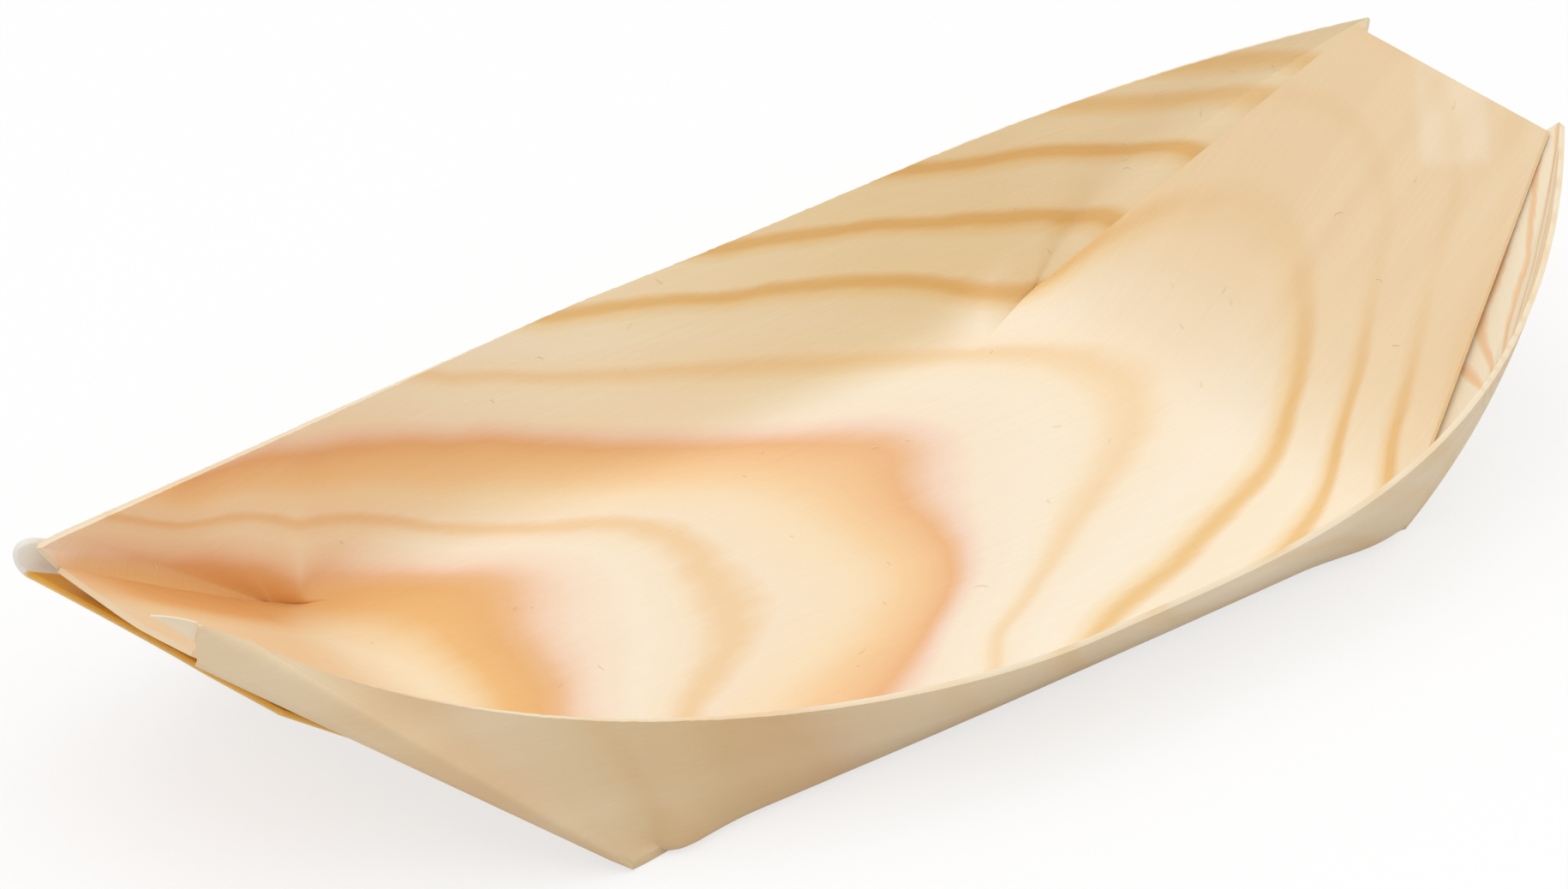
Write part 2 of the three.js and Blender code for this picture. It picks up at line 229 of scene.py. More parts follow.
# Colours of the wood by the ring's number, from the middle of the log outwards
EARLY_COLOURS = [(-100, 238, 202, 154), (-62, 247, 225, 189), (-47, 250, 232, 198), (-42.5, 248, 221, 177),
                 (-37.5, 241, 193, 128), (-32, 236, 184, 122), (-28.5, 238, 192, 146), (-26, 245, 212, 184),
                 (-23, 248, 227, 203), (-17, 250, 236, 213), (-13, 249, 231, 202), (-10.6, 244, 212, 168),
                 (-9.2, 244, 212, 168), (-7, 249, 230, 202), (-1, 250, 227, 190), (5, 249, 211, 162),
                 (11, 245, 199, 147), (16, 239, 186, 134), (18.5, 242, 199, 162), (21.5, 247, 217, 194),
                 (26, 250, 233, 209), (36, 250, 237, 214), (41, 251, 235, 208), (44.8, 248, 222, 183),
                 (46.8, 247, 219, 178), (50, 251, 235, 209), (58, 251, 239, 219)]
STRONG_CORE, WEAK_CORE = (240, 202, 143), (245, 215, 168)
LATE_RINGS = [(70, STRONG_CORE), (90, STRONG_CORE), (112, STRONG_CORE), (130, WEAK_CORE), (142, WEAK_CORE)]
LATE_COLOURS = [(58, 251, 239, 219)]
for late_ring, core in LATE_RINGS:
    LATE_COLOURS += [(late_ring - 6, 251, 238, 214), (late_ring - 2.6, 248, 224, 182),
                     (late_ring - 0.9, *core), (late_ring + 1.3, *core), (late_ring + 3.8, 251, 236, 210)]
LATE_COLOURS += [(156, 250, 238, 213)]
RING_FIRST, RING_LAST = -100, 180
RING_SPAN = RING_LAST - RING_FIRST
PLATE_SLACK = 20


def tension(distance):
    """Bend of a thin plate at a distance: the distance squared times its logarithm."""
    return distance ** 2 * np.log(np.maximum(distance, 1e-6))


def plate_terms(s, t):
    """Terms of a thin plate through the traced places: its bends about them, and a level and two slopes."""
    bends = tension(np.hypot(s[..., None] - TRACED[:, 0], t[..., None] - TRACED[:, 1]))
    return np.concatenate([bends, np.ones_like(s)[..., None], s[..., None], t[..., None]], -1)


def ring_number(s, t):
    """Ring number anywhere on the blank: a thin plate laid smoothly through the traced rings."""
    return plate_terms(s, t) @ PLATE


def ring_colours(tree, share, stops):
    """Colour of the wood by the share of the ring numbers: a ramp between stops of number and colour."""
    ramp = feed(tree, place(tree, "ShaderNodeValToRGB"), Fac=share)
    elements = ramp.color_ramp.elements
    elements.remove(elements[1])
    for order, (number, *colour) in enumerate(stops):
        at = (number - RING_FIRST) / RING_SPAN
        element = elements[0] if order == 0 else elements.new(at)
        element.position = at
        element.color = srgb(*colour)
    return ramp.outputs[0]


TRACED = np.array([spot for _, *spots in RING_TRACES for spot in spots], float)
NUMBERS = np.array([number for number, *spots in RING_TRACES for _ in spots], float)
matrix = np.zeros((len(TRACED) + 3, len(TRACED) + 3))
matrix[:-3] = plate_terms(TRACED[:, 0], TRACED[:, 1])
matrix[:-3, :-3] += np.eye(len(TRACED)) * PLATE_SLACK
matrix[-3:] = np.concatenate([matrix[:-3, -3:], np.zeros((3, 3))]).T
PLATE = np.linalg.solve(matrix, np.concatenate([NUMBERS, np.zeros(3)]))

# Grain: rings that sway and waver, fine late rings past FINE_FROM, plain wood where the rings don't show,
# then streaks, bright flecks, a painted shade colour (painted amber glow on the strips) and the paler cut
# edge. A noise is given by its cycles per mm along and across the blank, and its detail
SWAY_NOISE, SWAY = ((0.022, 0.05), 2.0), 3.0
WAVER_NOISE, WAVER = ((0.1, 0.4), 3.0), 1.8
LINE_NOISE, LINE_SPAN = ((0.006, 0.15), 1.0), (0.35, 0.65)
STREAK_NOISE, STREAK_SPAN = ((0.045, 2.6), 6.0), (0.25, 0.75)
FLECK_NOISE, FLECK_SPAN = ((0.3, 4.0), 2.0), (0.66, 0.8)
STREAK_STRENGTH = (0.985, 1.012)
FLECK_STRENGTH = (0.0, 0.035)
ROUGHNESS = (0.72, 0.56)
FINE_FROM = 158
FINE_TURN = 1.9
FINE_STRENGTH = 0.65
EDGE_STRENGTH = 0.45
FINE_COLOUR = srgb(243, 190, 130)
PLAIN_COLOURS = srgb(243, 221, 189), srgb(247, 229, 200)
EDGE_COLOUR = srgb(250, 232, 200)
grain = bpy.data.node_groups.new("pine_veneer_grain", "ShaderNodeTree")
for socket_name, way, kind in (("Blank", "INPUT", "Vector"), ("Ring", "INPUT", "Float"),
                               ("Tint", "INPUT", "Color"), ("Finish", "INPUT", "Vector"),
                               ("Color", "OUTPUT", "Color"), ("Roughness", "OUTPUT", "Float"),
                               ("Fibre", "OUTPUT", "Float")):
    grain.interface.new_socket(socket_name, in_out=way, socket_type=f"NodeSocket{kind}")
given = place(grain, "NodeGroupInput").outputs
spot = feed(grain, place(grain, "ShaderNodeSeparateXYZ"), Vector=given["Blank"]).outputs
rings_light_edge = feed(grain, place(grain, "ShaderNodeSeparateXYZ"), Vector=given["Finish"]).outputs
along, across = (sum_up(grain, "MULTIPLY", spot[axis], DECIMETRE) for axis in "XY")
sway = stretched_noise(grain, along, across, *SWAY_NOISE)
waver = stretched_noise(grain, along, across, *WAVER_NOISE)
ring = sum_up(grain, "ADD", given["Ring"], sum_up(grain, "MULTIPLY_ADD", sway, SWAY, -SWAY / 2))
ring = sum_up(grain, "ADD", ring, sum_up(grain, "MULTIPLY_ADD", waver, WAVER, -WAVER / 2))
ring_share = sum_up(grain, "MULTIPLY_ADD", ring, 1 / RING_SPAN, -RING_FIRST / RING_SPAN)
early, late = (ring_colours(grain, ring_share, stops) for stops in (EARLY_COLOURS, LATE_COLOURS))
rings = blend(grain, sum_up(grain, "GREATER_THAN", ring, LATE_COLOURS[0][0]), early, late)
fine = sum_up(grain, "SINE", sum_up(grain, "MULTIPLY", ring, FINE_TURN))
fine = sum_up(grain, "MULTIPLY", fine, sum_up(grain, "GREATER_THAN", ring, FINE_FROM))
fine = sum_up(grain, "MULTIPLY", sum_up(grain, "MAXIMUM", fine, 0.0), FINE_STRENGTH)
rings = blend(grain, fine, rings, FINE_COLOUR)
line = ranged(grain, stretched_noise(grain, along, across, *LINE_NOISE), *LINE_SPAN)
shown = blend(grain, rings_light_edge["X"], blend(grain, line, *PLAIN_COLOURS), rings)
streak = stretched_noise(grain, along, across, *STREAK_NOISE)
fleck = stretched_noise(grain, along, across, *FLECK_NOISE)
strength = sum_up(grain, "ADD", ranged(grain, streak, *STREAK_SPAN, *STREAK_STRENGTH),
                  ranged(grain, fleck, *FLECK_SPAN, *FLECK_STRENGTH))
streaked = place(grain, "ShaderNodeVectorMath", operation="SCALE")
feed(grain, streaked, Vector=shown, Scale=strength)
# Painted light: the piece's painted shade colour (painted amber glow on the strips) is multiplied in by the
# second share
with_shade_and_glow = blend(grain, rings_light_edge["Y"], streaked.outputs[0], given["Tint"], "MULTIPLY")
edged = blend(grain, sum_up(grain, "MULTIPLY", rings_light_edge["Z"], EDGE_STRENGTH), with_shade_and_glow, EDGE_COLOUR)
feed(grain, place(grain, "NodeGroupOutput"), Color=edged, Fibre=sum_up(grain, "ADD", streak, fleck),
     Roughness=ranged(grain, streak, *STREAK_SPAN, *ROUGHNESS))


def veneer_finish(name, shade_and_glow):
    """Unfinished veneer: growth rings and fibres by the place on the blank, multiplied by a painted light
    colour (painted shade on most pieces, painted amber glow on the strips), paler on cut edges.
    """
    material = bpy.data.materials.new(name)
    material.use_nodes = True
    tree = material.node_tree
    shader = tree.nodes["Principled BSDF"]
    group = place(tree, "ShaderNodeGroup", node_tree=grain)
    blank = place(tree, "ShaderNodeUVMap", uv_map="blank")
    rings_light_edge = place(tree, "ShaderNodeAttribute", attribute_name="rings_light_edge")
    number = place(tree, "ShaderNodeAttribute", attribute_name="ring")
    feed(tree, group, Blank=blank.outputs[0], Ring=number.outputs["Fac"], Tint=srgb(*shade_and_glow),
         Finish=rings_light_edge.outputs["Vector"])
    bump = place(tree, "ShaderNodeBump")
    feed(tree, bump, Strength=0.12, Distance=0.0001, Height=group.outputs["Fibre"])
    feed(tree, shader, Base_Color=group.outputs["Color"], Roughness=group.outputs["Roughness"],
         Normal=bump.outputs[0], Specular_IOR_Level=0.3)
    return material


floor_x = np.linspace(-HALF_LENGTH + END_BEND, HALF_LENGTH - END_BEND, FLOOR_COLUMNS)[:, None]
floor_share = np.linspace(-1, 1, FLOOR_ROWS)
floor_y = fold_half(floor_x, floor_share) * floor_share
floor_blank = np.stack(np.broadcast_arrays(floor_x, floor_y), -1)
floor_top = np.dstack([floor_blank, np.full(floor_blank.shape[:2], VENEER)])
floor_under = floor_top * [1, 1, 0]
floor_pine = veneer_finish("floor_pine", FLOOR_SHADE)
floor = veneer_piece("floor_veneer", floor_pine, floor_top, floor_under, floor_blank,
                     FLOOR_INSIDE, FLOOR_OUTSIDE)
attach(floor, "root")
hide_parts("floor_panel")
fibre_beds = [(floor_top, FLOOR_FIBRES)]


# End panels: the middle tongues of the sheet's ends, between two slits, folded up from the floor.
# Each narrows towards its cut top edge. The left one is lower, is cut back further at its front side,
# and bows and curls a little inwards.
PANEL_SLANT = 44.1
# Each end's side, rise over the slant, half widths of its top edge, and how far it curls and bows inwards
LEFT_END = {"side": -1, "rise": 24.8, "back": 15.0, "front": 6.0, "curl": 0.115, "bow": 0.9}
RIGHT_END = {"side": 1, "rise": 28.7, "back": 14.7, "front": 14.7, "curl": 0.0, "bow": 0.0}
CURL_START = 2.0
CURL_SOFT = 2.0
SLIT_LAP = 2.0
PANEL_COLUMNS = 56
BEND_STEPS = 10
PANEL_STEPS = 50
PANEL_FIBRES = 10
# Painted shade on the end panels: a darker colour that grows in from the fold up the panel on the insides and
# lies fully on the outsides
LEFT_PANEL_SHADE, RIGHT_PANEL_SHADE = (248, 230, 212), (248, 240, 226)
PANEL_SHADE_RISE = 14.0
PANEL_OUTSIDE = (0.2, 1)
ORANGE_RINGS = (-35, -54)
ORANGE_BAND = (2, 13)
ORANGE_RISE = (-2, 8)
LEFT_FADE, LEFT_FADE_RISE = 0.5, (30, PANEL_SLANT)
RIGHT_FADE, RIGHT_FADE_RISE = 0.88, (2, 24)
# Painted light on the right panel, paler where it stands for light shining through the single layer of veneer
# with no tab behind: how much paler it is, its slanted sides, and its lower corner and edge
THROUGH_LIGHT_SHARE = 0.6
THROUGH_LIGHT_SIDES = (-6, -4), (5, 7)
THROUGH_LIGHT_CORNER = (33.5, -3.5)
THROUGH_LIGHT_LEAN = (0.87, 0.49)
THROUGH_LIGHT_FOOT = (-0.5, 1)


def steepness(end):
    """Rise and level run of an end panel for each mm up its slope."""
    rising = end["rise"] / PANEL_SLANT
    return rising, np.sqrt(1 - rising ** 2)


def curled(end, reach, across):
    """How far an end panel curls inwards: in step with the reach, and with the way forwards of CURL_START."""
    forward = CURL_START - across
    return end["curl"] * reach / PANEL_SLANT * (forward + np.hypot(forward, CURL_SOFT)) / 2


def panel_point(end, reach, across, depth):
    """Place on an end panel: reach up its slope from the fold, across it, and depth behind its inner face."""
    rising, level = steepness(end)
    depth = depth - curled(end, reach, across)
    x = end["side"] * (HALF_LENGTH + reach * level + depth * rising)
    return np.stack(np.broadcast_arrays(x, across, VENEER + reach * rising - depth * level), -1)


def left_panel_looks(along, across, numbers):
    """Share of the rings and ring numbers: an orange ring follows the back edge, and all fade to the top."""
    orange = lerp(*ORANGE_RINGS, ease(across[-1] - across, *ORANGE_BAND))
    return 1 - LEFT_FADE * ease(along, *LEFT_FADE_RISE), 1, lerp(numbers, orange, ease(along, *ORANGE_RISE))


def right_panel_looks(along, across, numbers):
    """Share of the rings, which fade upwards, of the painted shade, which is lighter in the slanted place
    with no tab behind it, where painted light stands for light shining through the single layer of veneer,
    and the ring numbers."""
    slanted = across + PANEL_SLANT - along
    lower = (along - THROUGH_LIGHT_CORNER[0]) * THROUGH_LIGHT_LEAN[0] + (across - THROUGH_LIGHT_CORNER[1]) * THROUGH_LIGHT_LEAN[1]
    pale = ease(slanted, *THROUGH_LIGHT_SIDES[0]) * (1 - ease(slanted, *THROUGH_LIGHT_SIDES[1])) * ease(lower, *THROUGH_LIGHT_FOOT)
    return 1 - RIGHT_FADE * ease(along, *RIGHT_FADE_RISE), 1 - THROUGH_LIGHT_SHARE * pale, numbers


def end_panel(end, looks):
    """Inner and outer grids of an end panel, its blank places, looks and ring numbers: a soft bend out of the
    floor as a quadratic curve, then a flat tongue that narrows evenly to its top edge, curled and bowed."""
    rising, level = steepness(end)
    q = np.linspace(0, 1, BEND_STEPS)
    reach = np.concatenate([q * 0, np.linspace(END_BEND, PANEL_SLANT, PANEL_STEPS)[1:]])
    bent = np.concatenate([q, np.ones(PANEL_STEPS - 1)])
    run = np.where(bent < 1, END_BEND * (2 * bent - bent ** 2 * (1 - level)) - END_BEND, reach * level)
    run = np.where((bent == 1) & (reach == 0), END_BEND * level, run)
    climb = np.where(reach > 0, reach * rising, END_BEND * rising * bent ** 2)
    lean = np.gradient(climb, run)
    along = np.concatenate([[0], np.cumsum(np.hypot(np.diff(run), np.diff(climb)))]) - END_BEND
    share = np.clip((along - SLIT_LAP) / (PANEL_SLANT - SLIT_LAP), 0, 1)
    w = np.linspace(-1, 1, PANEL_COLUMNS)[:, None]
    base = fold_half(HALF_LENGTH + np.minimum(run, 0), w)
    across = w * np.where(w > 0, lerp(base, end["back"], share), lerp(base, end["front"], share))
    inner = np.stack(np.broadcast_arrays(end["side"] * (HALF_LENGTH + run), across, VENEER + climb), -1)
    inward = curled(end, np.maximum(along, 0), across) + end["bow"] * np.maximum(along / PANEL_SLANT, 0) ** 2
    inner -= inward[..., None] * [end["side"] * rising, 0, -level]
    slope = np.hypot(1, lean)
    outward = np.stack([end["side"] * lean / slope, lean * 0, -1 / slope], -1)
    blank = np.stack(np.broadcast_arrays(end["side"] * (HALF_LENGTH + along), across), -1)
    shown, shade_and_glow, numbers = looks(along, across, ring_number(blank[..., 0], blank[..., 1]))
    # Painted shade: none at the floor bend, growing in up the panel
    inside = (shown, ease(along, -END_BEND, PANEL_SHADE_RISE) * shade_and_glow)
    return inner, inner + VENEER * outward, blank, inside, PANEL_OUTSIDE, numbers


for end, node, shade_and_glow, looks in ((LEFT_END, "left_end_panel", LEFT_PANEL_SHADE, left_panel_looks),
                               (RIGHT_END, "right_end_panel", RIGHT_PANEL_SHADE, right_panel_looks)):
    panel_pine = veneer_finish(f"{node}_pine", shade_and_glow)
    panel_grids = end_panel(end, looks)
    fibre_beds.append((panel_grids[0], PANEL_FIBRES))
    panel = veneer_piece(node.replace("panel", "tongue"), panel_pine, *panel_grids)
    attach(panel, "root")
    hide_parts(node)


# Side walls and their tabs: the long sides of the sheet, bent up softly from the floor and flaring out.
# Past the slits each wall bows round in a cone, and its end wraps the panel's side edge as a tab behind it.
RIM_HALF_WIDTH = 41.4
RIM_HEIGHT = 13.7
RIM_SOFTNESS = 0.12
FAN_START = 0.58
FAN_SOFT = 0.25
FAN_END = FAN_START * (1 + FAN_SOFT)
FAN_BEND = 10.0
LEVEL_UNTIL = 0.5
BOW_START = 0.66
CORNER_BEND = 1.5
FRONT_ROOT = 0.5
FRONT_DIP_START = 0.9
BACK_DIP_START = 0.88
TAB_DEPTH = 0.85
LEFT_TAB_DEPTH = 0.65
TAB_WRAP = 0.4
TAB_DROP = 18.0
TAB_TIP_HALF = 4.0
TURN_SPREAD = 0.33
SWELL_END = 0.5
# Each corner: how far its tip stands past the panel, its half width and depth there, where the tab turns
# (reach, half width, depth), the powers of the rim's narrowing and rising, its bow, swell, drop and notch
BACK_LEFT = {"end": LEFT_END, "hand": 1, "past": 3.8, "half": 14.9, "depth": -2.2, "turn": (43.5, 15.2, -0.8),
             "narrowing": 0.99, "rising": 1.03, "bow": 2.0, "swell": 0.0, "drop": 3.2, "notch": 0.0}
FRONT_LEFT = {"end": LEFT_END, "hand": -1, "past": 2.9, "half": 7.8, "depth": -3.8, "turn": (45.4, 7.7, -1.0),
              "narrowing": 1.39, "rising": 3.29, "bow": 1.6, "swell": 0.0, "drop": 0.6, "notch": 0.5}
BACK_RIGHT = {"end": RIGHT_END, "hand": 1, "past": 1.6, "half": 14.8, "depth": TAB_DEPTH, "turn": None,
              "narrowing": 3.09, "rising": 2.41, "bow": 3.4, "swell": 1.0, "drop": 0.0, "notch": 0.0}
FRONT_RIGHT = {**BACK_RIGHT, "hand": -1}
NOTCH_AT = 0.945
NOTCH_WIDTH = 0.009
RAGGED = 0.03
RAGGED_WAVES = (173, 71, 409, 37)
ROOT_LEAN, ROOT_DROP = 0.6, 0.8
ROOT_NEAR = 0.001
FLOOR_STEPS = 110
FAN_STEPS = 110
TAB_STEPS = 41
ROUND_COLUMNS = 16
ROUND_ROWS = (1.75, 2.1)
BEND_ROWS, RISE_ROWS = 9, 27
ROW_STEPS = np.concatenate([np.linspace(0, 1, BEND_ROWS), np.linspace(1, 2, RISE_ROWS)[1:]])
WALL_FIBRES = 26
FIBRE_FIRST_ROW = 4
WALL_SHADE_RISE = 7.0
ROOT_SHADE_REACH = 10.0
SLIT_LEAN = 0.43
FINE_FIRST = 163
FINE_PITCH = 1.9
FINE_RISE = (48, 78)
# Each wall: its painted shade colour, how far the painted shade holds along the blank inside and outside,
# how clearly the rings show outside, and whether fine rings fan out from its right slit
BACK_WALL = {"name": "back", "corners": (BACK_LEFT, BACK_RIGHT), "shade_and_glow": (227, 210, 172), "fine": 0.0,
             "inside": ((-60, 10, 35, 65), (0, 0.6, 0.78, 0.57)), "outside": ((0,), (0.45,)), "rings": 0.4}
FRONT_WALL = {"name": "front", "corners": (FRONT_LEFT, FRONT_RIGHT), "shade_and_glow": (232, 220, 198), "fine": 1.0,
              "inside": ((0,), (0.12,)), "rings": 0.25,
              "outside": ((-75, -50, -40, -20, 0, 22, 45), (0.45, 0.85, 1, 0.5, 0.6, 0.05, 0.35))}


def arch(q):
    """Even arch over the shares 0 to 1: 4 times the share times what is left of it, so 1 at the middle."""
    return 4 * q * (1 - q)


def slit_height(corner, f):
    """Height of a wall's lower edge a share f of the way to the slit's root: at the back it climbs with the
    end panel's soft bend, by the square of the share of the bend passed, then slips behind it, and at the
    front it dips a little."""
    rising, level = steepness(corner["end"])
    passed = np.maximum(f * SLIT_X - HALF_LENGTH + END_BEND, 0) / END_BEND
    bent = (1 - np.sqrt(1 - (1 - level) * passed)) / (1 - level)
    dip = (FRONT_ROOT - VENEER) * ease(f, FRONT_DIP_START, 1)
    climb = END_BEND * rising * bent ** 2 - VENEER * ease(f, BACK_DIP_START, 1)
    return VENEER + np.where(corner["hand"] > 0, climb, dip)


def wall_half(corner):
    """Columns of a side wall from its middle out to one corner, each from the floor bend up to the rim.

    The rim runs evenly from the middle to the corner's tip, and draws in and rises by powers of a softened
    share of the way. A column starts on the fold line, or past the slit at the slit's root. It bends up as a
    quadratic curve between equal arms, then runs straight to the rim. Towards the corner it bows outwards."""
    k = np.concatenate([np.linspace(0, FAN_END, FLOOR_STEPS), np.linspace(FAN_END, 1, FAN_STEPS)[1:]])
    side, hand = corner["end"]["side"], corner["hand"]
    tip = panel_point(corner["end"], PANEL_SLANT + corner["past"], hand * corner["half"], corner["depth"])
    soft = (np.hypot(k, RIM_SOFTNESS) - RIM_SOFTNESS) / (np.hypot(1, RIM_SOFTNESS) - RIM_SOFTNESS)
    rim_y = RIM_HALF_WIDTH - (RIM_HALF_WIDTH - corner["half"]) * soft ** corner["narrowing"]
    rim_z = RIM_HEIGHT + (tip[2] - RIM_HEIGHT) * soft ** corner["rising"]
    rim = np.stack([k * tip[0], hand * rim_y, rim_z], -1)
    f = k / FAN_START
    f = np.where(f < 1 - FAN_SOFT, f, 1 - np.maximum(1 + FAN_SOFT - f, 0) ** 2 / (4 * FAN_SOFT))
    start = np.stack([side * f * SLIT_X, hand * fold_half(f * SLIT_X, hand), slit_height(corner, f)], -1)
    rising = unit(rim - start)
    waves = [np.sin(k * wave + shift) for wave, shift in zip(RAGGED_WAVES, (0, 2, side, hand))]
    uneven = waves[0] * waves[1] + waves[2] * waves[3]
    nick = corner["notch"] * np.exp(-((k - NOTCH_AT) / NOTCH_WIDTH) ** 4)
    rim = rim + rising * (RAGGED * uneven - nick)[:, None]
    bend = lerp(side_bend(hand), CORNER_BEND, ease(f, BEND_FADE, 1))
    bend = lerp(bend, FAN_BEND, ease(k, FAN_END, 1))[:, None]
    level = lerp(unit(rising * [1, 1, 0]), rising, ease(k, LEVEL_UNTIL, FAN_END)[:, None])
    fold = start + level * bend
    straight = fold + unit(rim - fold) * bend
    start, fold, straight, rim = (edge[:, None] for edge in (start, fold, straight, rim))
    q = np.clip(ROW_STEPS, 0, 1)[:, None]
    curve = lerp(lerp(start, fold, q), lerp(fold, straight, q), q)
    points = curve + (rim - straight) * np.clip(ROW_STEPS - 1, 0, 1)[:, None]
    way = np.linalg.norm(points - start, axis=-1) / np.linalg.norm(rim - start, axis=-1)
    points[..., 1] += hand * corner["bow"] * ease(k, BOW_START, 1)[:, None] * arch(way)
    return points


def tab(corner):
    """Columns of a tab, on from the wall's end: lines from the slit's root to a free edge that first runs
    down to the panel's side edge and round it, then lies flat behind the panel. The wall's bow fades out."""
    t = np.linspace(0, 1, TAB_STEPS)[1:]
    end, hand, half = corner["end"], corner["hand"], corner["half"]
    reach = PANEL_SLANT + corner["past"]
    turn_reach, turn_half, turn_depth = corner["turn"] or (reach, half, corner["depth"])
    wrap, behind = (TAB_WRAP, LEFT_TAB_DEPTH) if corner["turn"] else (0, TAB_DEPTH)
    turned = np.minimum(t / TAB_WRAP, 1)
    down, round_edge = np.minimum(2 * turned, 1), np.maximum(2 * turned - 1, 0)
    flat = np.maximum((t - wrap) / (1 - wrap), 0)
    lowered = corner["drop"] * round_edge
    up = lerp(lerp(reach, turn_reach, down) - lowered, PANEL_SLANT - TAB_DROP, flat)
    spread = lerp(half, turn_half, down) + TURN_SPREAD * lowered
    aside = lerp(spread, min(TAB_TIP_HALF, half / 2), flat)
    behind = behind - end["bow"] * (up / PANEL_SLANT) ** 2
    depth = lerp(lerp(corner["depth"], turn_depth, down), behind, round_edge)
    free = panel_point(end, up, hand * aside, depth)
    root = np.array([end["side"] * SLIT_X, hand * HALF_WIDTH, slit_height(corner, 1.0)])
    length = np.linalg.norm(free - root, axis=-1)[:, None]
    near = 2 * FAN_BEND * np.clip(ROW_STEPS, 0, 1)
    way = (near + (length - 2 * FAN_BEND) * np.clip(ROW_STEPS - 1, 0, 1)) / length
    points = lerp(root, free[:, None], way[..., None])
    points[..., 1] += hand * corner["bow"] * (1 - ease(turned, 0, 1))[:, None] * arch(way)
    swell = corner["swell"] * ease(turned, 0, 1) * (1 - ease(flat, 0, SWELL_END))
    rising, level = steepness(end)
    outward = np.array([end["side"] * rising, 0, -level])
    return points + (swell[:, None] * arch(way))[..., None] * outward


def rounded(points, corner):
    """Columns of a wall and its tab with the turn between them rounded: a quadratic curve from ROUND_COLUMNS
    before the wall's end to the panel's side edge, drawn by the wall's end, and fading out at the rim."""
    if corner["turn"] is None:
        return points
    last = FLOOR_STEPS + FAN_STEPS - 2
    turned = round((TAB_STEPS - 1) * TAB_WRAP / 2)
    u = np.concatenate([np.linspace(0, 0.5, ROUND_COLUMNS + 1), np.linspace(0.5, 1, turned + 1)[1:]])
    u = u[:, None, None]
    before, at, after = points[last - ROUND_COLUMNS], points[last], points[last + turned]
    curve = (1 - u) ** 2 * before + 2 * u * (1 - u) * at + u ** 2 * after
    part = slice(last - ROUND_COLUMNS, last + turned + 1)
    points[part] = lerp(points[part], curve, 1 - ease(ROW_STEPS, *ROUND_ROWS)[:, None])
    return points


def unrolled(points, corner):
    """Places on the flat blank of columns from a wall's middle outwards. A column keeps its length and its
    angle to the fold line, and past the slit the angles between columns add up round the slit's root."""
    side, hand = corner["end"]["side"], corner["hand"]
    steps = np.linalg.norm(np.diff(points, axis=1), axis=-1)
    along = np.concatenate([np.zeros((len(points), 1)), np.cumsum(steps, axis=1)], 1)
    aim = unit(points[:, -1] - points[:, 0])
    lean = np.arccos(np.clip(side * aim[:, 0], -1, 1))
    turn = np.arccos(np.clip(np.sum(aim[1:] * aim[:-1], axis=-1), -1, 1))
    fan = lean[FLOOR_STEPS - 1] - np.cumsum(turn[FLOOR_STEPS - 1:])
    angle = np.concatenate([lean[:FLOOR_STEPS], fan])[:, None]
    s = np.abs(points[:, :1, 0]) + along * np.cos(angle)
    t = np.abs(points[:, :1, 1]) + along * np.sin(angle)
    return np.stack([side * s, hand * t], -1)


def outer_side(points, hand):
    """Outer face of one long side of the sheet: the inner face moved by the veneer's thickness along its
    normals, with one normal for all columns that share a slit's root."""
    normals = np.cross(np.gradient(points, axis=0), np.gradient(points, axis=1))
    normals[:, 0] = normals[:, 1]
    middle = normals[len(points) // 2, -1]
    normals = unit(normals * np.sign(middle[1] * hand))
    fixed = np.abs(points[:, 0, 0]) >= SLIT_X - ROOT_NEAR
    normals[fixed, 0] = unit(np.sign(points[fixed, 0, :1]) * [ROOT_LEAN, 0, 0] + [0, hand, -ROOT_DROP])
    normals[~fixed, 0] = [0, 0, -1]
    return points + VENEER * normals


